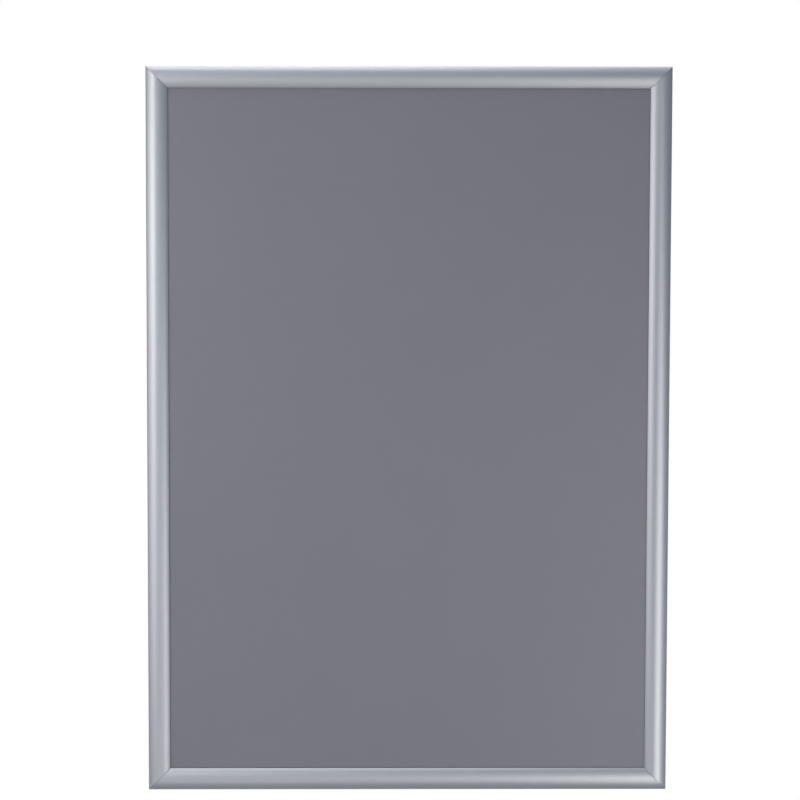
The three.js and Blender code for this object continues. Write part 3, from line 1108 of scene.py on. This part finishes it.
@dataclass
class Studio:
    """A white backdrop behind the frame, a dim room in front of it, soft lamps and a pale floor.

    The lamps' directions and strengths were fitted to the tones of the photographed rails. Lengths are in
    metres.
    """

    hanging_height: float = 1.5  # from the floor to the middle of the frame
    floor_colour: str = "#c9c9ca"
    floor_radius: float = 4.5
    floor_facets: int = 96
    floor_paleness: float = 0.6  # how white the camera sees the floor near the frame
    fade_start: float = 2.4
    fade_end: float = 4.2
    room_colour: str = "#798493"
    backdrop_axis: tuple[float, float, float] = (0.0, 0.94, 0.34)
    backdrop_start: float = 0.4
    backdrop_end: float = 0.8
    lamps: tuple[SoftLamp, ...] = (
        SoftLamp("far_left_softbox", -60, 12, 1.25, 0.5, 0.5, 0.8),
        SoftLamp("far_low_left_softbox", -60, -12, 1.25, 0.5, 0.5, 0.5),
        SoftLamp("left_softbox", -38, 12, 1.25, 0.5, 0.5, 2.6),
        SoftLamp("low_left_softbox", -38, -12, 1.25, 0.5, 0.5, 1.2),
        SoftLamp("right_softbox", 32, -12, 1.25, 0.5, 0.5, 1.7),
        SoftLamp("low_right_softbox", 32, -35, 1.25, 0.5, 0.5, 1.6),
        SoftLamp("low_softbox", -18, -40, 1.25, 0.5, 0.5, 0.5),
        SoftLamp("overhead_softbox", 0, 85, 2.6, 1.2, 1.2, 2.4),
        SoftLamp("overhead_left_softbox", -20, 60, 2.6, 1.2, 1.2, 2.2),
        SoftLamp("high_front_softbox", -16, 22, 4.8, 1.6, 1.2, 1.7),
        SoftLamp("front_softbox", 9, -6, 4.7, 1.0, 0.4, 5.2),
        SoftLamp("rear_softbox", -158, 27, 2.7, 2.0, 1.6, 4.0),
    )

    def build(self) -> None:
        """Builds the backdrop, the floor and the lamps."""
        middle = (Vector(CAD_BOUNDS[0]) + Vector(CAD_BOUNDS[1])) / 2
        self.light_backdrop()
        self.lay_floor(middle.z - self.hanging_height)
        for lamp in self.lamps:
            lamp.build(middle)
            LOG.info("lamp %s", lamp.name)

    def light_backdrop(self) -> None:
        """Makes a white backdrop behind the frame and an evenly dim room all round.

        The camera and rays through clear pieces see white in every direction. Metal and gloss mirror the
        white backdrop where it hangs, behind the frame, and the dim room and the lamps elsewhere. The
        white lights no matt surface.
        """
        world = bpy.data.worlds.new("studio")
        bpy.context.scene.world = world
        world.use_nodes = True
        tree = world.node_tree
        tree.nodes.clear()
        direction = add_node(tree, "TexCoord")
        facing = add_node(
            tree,
            "VectorMath",
            {0: direction.outputs["Generated"], 1: self.backdrop_axis},
            operation="DOT_PRODUCT",
        )
        behind = add_node(
            tree,
            "MapRange",
            {
                "Value": facing.outputs["Value"],
                "From Min": self.backdrop_start,
                "From Max": self.backdrop_end,
            },
            interpolation_type="SMOOTHSTEP",
        )
        ray = add_node(tree, "LightPath")
        mirrored = add_node(
            tree,
            "Math",
            {0: ray.outputs["Is Glossy Ray"], 1: behind.outputs["Result"]},
            operation="MULTIPLY",
        )
        white = add_node(
            tree, "Math", {0: direct_look(tree), 1: mirrored.outputs["Value"]}, operation="MAXIMUM"
        )
        room = add_node(tree, "Background", {"Color": linear_colour(self.room_colour)})
        backdrop = add_node(tree, "Background", {"Color": linear_colour("#ffffff")})
        mixed = add_node(
            tree,
            "MixShader",
            {"Fac": white.outputs["Value"], 1: room.outputs["Background"], 2: backdrop.outputs["Background"]},
        )
        add_node(tree, "OutputWorld", {"Surface": mixed.outputs["Shader"]})

    def lay_floor(self, height: float) -> None:
        """Lays a round pale floor that keeps the shadow and turns white towards its rim.

        The rim glows for every ray, so it also lights the frame a little. Metal mirrors the rim, and the
        plain paint nearer the frame, which comes closest to the tones of the photographed rails.

        Args:
            height: The floor's z.
        """
        disc = bmesh.new()
        bmesh.ops.create_circle(disc, cap_ends=True, radius=self.floor_radius, segments=self.floor_facets)
        bmesh.ops.translate(disc, verts=disc.verts, vec=(0, 0, height))
        material, tree = empty_material("painted_studio_floor")
        place = add_node(tree, "TexCoord")
        flat = add_node(tree, "VectorMath", {0: place.outputs["Object"], 1: (1, 1, 0)}, operation="MULTIPLY")
        reach = add_node(tree, "VectorMath", {0: flat.outputs["Vector"]}, operation="LENGTH")
        fade = add_node(
            tree,
            "MapRange",
            {"Value": reach.outputs["Value"], "From Min": self.fade_start, "From Max": self.fade_end},
            interpolation_type="SMOOTHSTEP",
        )
        pale = add_node(
            tree, "Math", {0: direct_look(tree), 1: self.floor_paleness}, operation="MULTIPLY"
        )
        white = add_node(
            tree, "Math", {0: fade.outputs["Result"], 1: pale.outputs["Value"]}, operation="MAXIMUM"
        )
        paint = add_node(tree, "BsdfDiffuse", {"Color": linear_colour(self.floor_colour)})
        glow = add_node(tree, "Emission", {"Color": linear_colour("#ffffff"), "Strength": 1.0})
        mixed = add_node(
            tree,
            "MixShader",
            {"Fac": white.outputs["Value"], 1: paint.outputs["BSDF"], 2: glow.outputs["Emission"]},
        )
        add_node(tree, "OutputMaterial", {"Surface": mixed.outputs["Shader"]})
        link_piece("studio_floor", disc, material)


@dataclass(frozen=True)
class Viewpoint:
    """The photograph's viewpoint, fitted to the outline of the frame in the picture."""

    place: tuple[float, float, float] = (-0.0800, -4.5556, 0.1144)
    pitch: float = 83.690
    roll: float = -0.135
    turn: float = -0.865
    lens: float = 171.89
    far_clip: float = 100.0

    def build(self) -> bpy.types.Object:
        """Builds the camera and makes it the scene's own.

        Returns:
            The camera's object.
        """
        data = bpy.data.cameras.new("photo_camera")
        data.lens = self.lens
        data.clip_end = self.far_clip
        camera = bpy.data.objects.new("photo_camera", data)
        camera.location = self.place
        camera.rotation_euler = [math.radians(angle) for angle in (self.pitch, self.roll, self.turn)]
        bpy.context.scene.collection.objects.link(camera)
        bpy.context.scene.camera = camera
        return camera


def report(*pieces: bpy.types.Object) -> None:
    """Logs the name and face count of each piece."""
    for piece in pieces:
        LOG.info("%s: %d faces", piece.name, len(piece.data.polygons))


def main() -> None:
    """Builds the camera, the studio and the frame's pieces in order, and reports each."""
    logging.basicConfig(level=logging.INFO, format="%(message)s")
    bpy.context.scene.view_settings.view_transform = "Standard"
    Viewpoint().build()
    Studio().build()
    covers = CoverRails()
    bases = BaseRails()
    springs = LeafSprings()
    for side in Side:
        report(bases.build(side), covers.build(side), *springs.build(side))
    report(*CornerKeys().build())
    report(*KeyScrews().build())
    report(FlatSheet("back_panel", "grey_back_panel", MattPolystyrene(), edge_round=0.15).build())
    report(FlatSheet("cover_sheet", "clear_cover_sheet", AntiGlareSheet(), edge_round=0.06).build())


if __name__ == "__main__":
    main()
